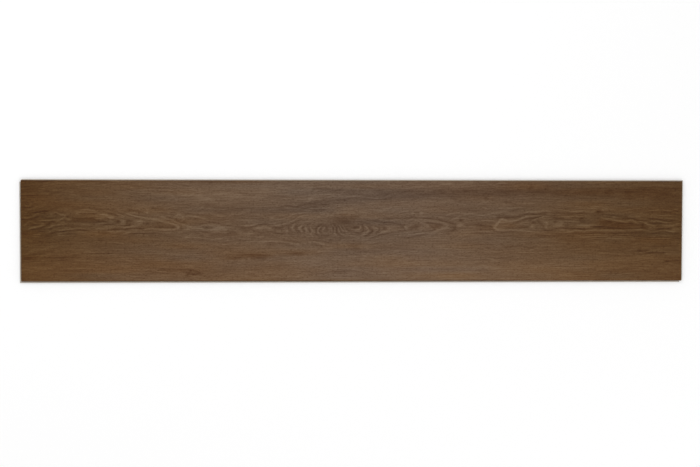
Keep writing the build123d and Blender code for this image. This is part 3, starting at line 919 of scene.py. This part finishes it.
def decor_material():
    """Printed and embossed oak film under a satin wear layer."""
    material, shader, add = new_material("oak_decor")
    coordinate = add("TexCoord", "Object")
    tone = add("Attribute", "Fac", attribute_name="tone")
    redness = add("Attribute", "Fac", attribute_name="redness")
    detail = add("Attribute", "Fac", attribute_name="detail")

    hair = stretched_noise(add, coordinate, scale=(22, 520, 1), detail=2, roughness=0.6)
    pore = stretched_noise(add, coordinate, scale=(190, 950, 1), detail=2, roughness=0.5)
    pore_line = add("MapRange", "Result", {"Value": pore, "From Min": 0.36, "From Max": 0.46},
                    interpolation_type="SMOOTHSTEP")
    hair_tone = math_node(add, "MULTIPLY", math_node(add, "SUBTRACT", hair, 0.5), HAIR_TONE)
    pore_tone = math_node(add, "MULTIPLY", math_node(add, "SUBTRACT", pore_line, 1.0), PORE_TONE)
    fine = math_node(add, "ADD", hair_tone, pore_tone)
    total = math_node(add, "ADD", detail, fine)

    # Colour of the broad tone: the print's stain together with the painted shade, sheen and light that the
    # tone attribute carries.
    stain_and_painted_light = ramp(add, tone, [
        (0.0, coded(64, 39, 16)),
        (0.25, coded(81, 57, 33)),
        (0.5, coded(104, 82, 63)),
        (0.75, coded(126, 105, 89)),
        (1.0, coded(147, 128, 114)),
    ])
    # Hue from redness, which also carries painted shade at the ends, a painted sheen in the middle and
    # painted light at the bottom edge.
    hue_place = math_node(add, "ADD", math_node(add, "MULTIPLY", redness, REDNESS_SHARE), 0.5)
    hue = ramp(add, hue_place, [
        (0.0, (0.963, 1.0, 1.061, 1)),
        (0.5, (1.0, 1.0, 1.0, 1)),
        (1.0, (1.044, 0.993, 0.893, 1)),
    ])
    warm = add("Mix", "Result", {"Factor": 1.0, "A": stain_and_painted_light, "B": hue},
               data_type="RGBA", blend_type="MULTIPLY")
    veil = add("VectorMath", "Vector", {0: DETAIL_COLOUR, "Scale": total}, operation="SCALE")
    veiled = add("VectorMath", "Vector", {0: warm, 1: veil}, operation="ADD")
    decoded = add("Gamma", "Color", {"Color": veiled, "Gamma": PRINT_GAMMA})

    rough = add("MapRange", "Result", {
        "Value": hair, "From Min": 0.3, "From Max": 0.7, "To Min": 0.56, "To Max": 0.44,
    })
    height = math_node(add, "ADD", hair, pore_line)
    bump = add("Bump", "Normal", {"Strength": 0.35, "Distance": 0.0002, "Height": height})
    fill(shader, {"Base Color": decoded, "Specular IOR Level": 0.2, "Roughness": rough, "Normal": bump})
    return material


def core_material(name, pale, dark, specks, roughness):
    """Dull stone-plastic core with so many specks of filler a metre, below a thin brown film."""
    material, shader, add = new_material(name)
    coordinate = add("TexCoord", "Object")
    grain = stretched_noise(add, coordinate, scale=(specks, specks, specks), detail=4, roughness=0.7)
    colour = ramp(add, grain, [(0.38, dark), (0.56, pale)])
    height = add("SeparateXYZ", "Z", {"Vector": coordinate})
    film = add("MapRange", "Result", {
        "Value": height, "From Min": FILM_LEVEL, "From Max": FILM_LEVEL + FILM_BLUR,
    }, interpolation_type="SMOOTHSTEP")
    layered = add("Mix", "Result", {"Factor": film, "A": colour, "B": linear(88, 70, 54)}, data_type="RGBA")
    bump = add("Bump", "Normal", {"Strength": 0.4, "Distance": 0.0001, "Height": grain})
    fill(shader, {"Base Color": layered, "Roughness": roughness, "Normal": bump})
    return material


def make_board(node):
    """The whole plank as one visual piece."""
    shape, decor, prints = board_mesh(node)
    first = len(shape.verts) - prints["tone"].size
    for name, values in prints.items():
        layer = shape.verts.layers.float.new(name)
        for vert in shape.verts[:first]:
            vert[layer] = RIM_PRINT[name]
        for vert, value in zip(shape.verts[first:], values.ravel()):
            vert[layer] = float(value)
    decor_faces = set(decor)
    for face in shape.faces:
        if face in decor_faces:
            face.material_index = DECOR
        elif face.normal.z < FACING_DOWN and face.calc_center_median().z < WELD_DISTANCE:
            face.material_index = UNDERSIDE
        else:
            face.material_index = CORE
        face.smooth = face.material_index == DECOR and len(face.verts) == 4
    mesh = bpy.data.meshes.new("plank_board")
    shape.to_mesh(mesh)
    shape.free()
    board = bpy.data.objects.new("plank_board", mesh)
    bpy.context.scene.collection.objects.link(board)
    materials = [
        decor_material(),
        core_material("stone_core", linear(196, 189, 178), linear(160, 152, 142), specks=1500, roughness=0.7),
        core_material("underside", linear(184, 177, 167), linear(150, 143, 134), specks=500, roughness=0.75),
    ]
    for material in materials:
        mesh.materials.append(material)
    return board


def make_floor():
    """Pale studio floor that stays white to the camera and keeps the plank's shadow."""
    corners = [(-1, -1), (1, -1), (1, 1), (-1, 1)]
    mesh = bpy.data.meshes.new("floor")
    mesh.from_pydata([(x * FLOOR_HALF, y * FLOOR_HALF, FLOOR_LEVEL) for x, y in corners], [], [(0, 1, 2, 3)])
    floor = bpy.data.objects.new("floor", mesh)
    bpy.context.scene.collection.objects.link(floor)
    material, shader, add = new_material("white_floor")
    fill(shader, {"Base Color": (0.8, 0.8, 0.8, 1), "Roughness": 0.9, "Specular IOR Level": 0.0})
    seen = add("LightPath", "Is Camera Ray")
    glow = add("Emission", "Emission", {"Strength": math_node(add, "MULTIPLY", seen, FLOOR_GLOW)})
    both = add("AddShader", "Shader", {0: shader.outputs["BSDF"], 1: glow})
    fill(material.node_tree.nodes["Material Output"], {"Surface": both})
    mesh.materials.append(material)


def make_world():
    """Even soft light from all round, white where the camera sees it."""
    world = bpy.data.worlds.new("studio")
    bpy.context.scene.world = world
    world.use_nodes = True
    add = node_adder(world.node_tree)
    upward = add("SeparateXYZ", "Z", {"Vector": add("TexCoord", "Generated")})
    ceiling = add("MapRange", "Result", {
        "Value": upward, "From Min": 0.60, "From Max": 0.98, "To Min": 1.25, "To Max": 0.1,
    }, interpolation_type="SMOOTHSTEP")
    seen = add("LightPath", "Is Camera Ray")
    level = add("Mix", "Result", {"Factor": seen, "A": ceiling, "B": 1.0})
    fill(world.node_tree.nodes["Background"], {"Color": (1, 1, 1, 1), "Strength": level})


def make_lamp(name, place, power):
    """Square softbox that faces the middle of the plank."""
    lamp = bpy.data.lights.new(name, "AREA")
    lamp.shape = "SQUARE"
    lamp.size = SOFTBOX_SIZE
    lamp.energy = power
    holder = bpy.data.objects.new(name, lamp)
    holder.location = place
    holder.rotation_euler = (-Vector(place)).to_track_quat("-Z", "Y").to_euler()
    bpy.context.scene.collection.objects.link(holder)


def make_camera():
    """Camera straight above the plank, with the slight tilt that the photograph's outline shows."""
    lens = bpy.data.cameras.new("camera")
    lens.lens = CAMERA_LENS
    lens.sensor_width = CAMERA_SENSOR
    camera = bpy.data.objects.new("camera", lens)
    camera.location = CAMERA_PLACE
    camera.rotation_euler = Euler([math.radians(angle) for angle in CAMERA_TILT])
    bpy.context.scene.collection.objects.link(camera)
    bpy.context.scene.camera = camera


board = make_board(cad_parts["plank"])
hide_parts("plank")
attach(board, "root")

make_floor()
make_world()
make_lamp("window", (-1.6, 2.2, 2.4), power=24)
make_lamp("side", (1.8, -2.4, 2.4), power=16)
make_camera()
bpy.context.scene.view_settings.view_transform = "Standard"
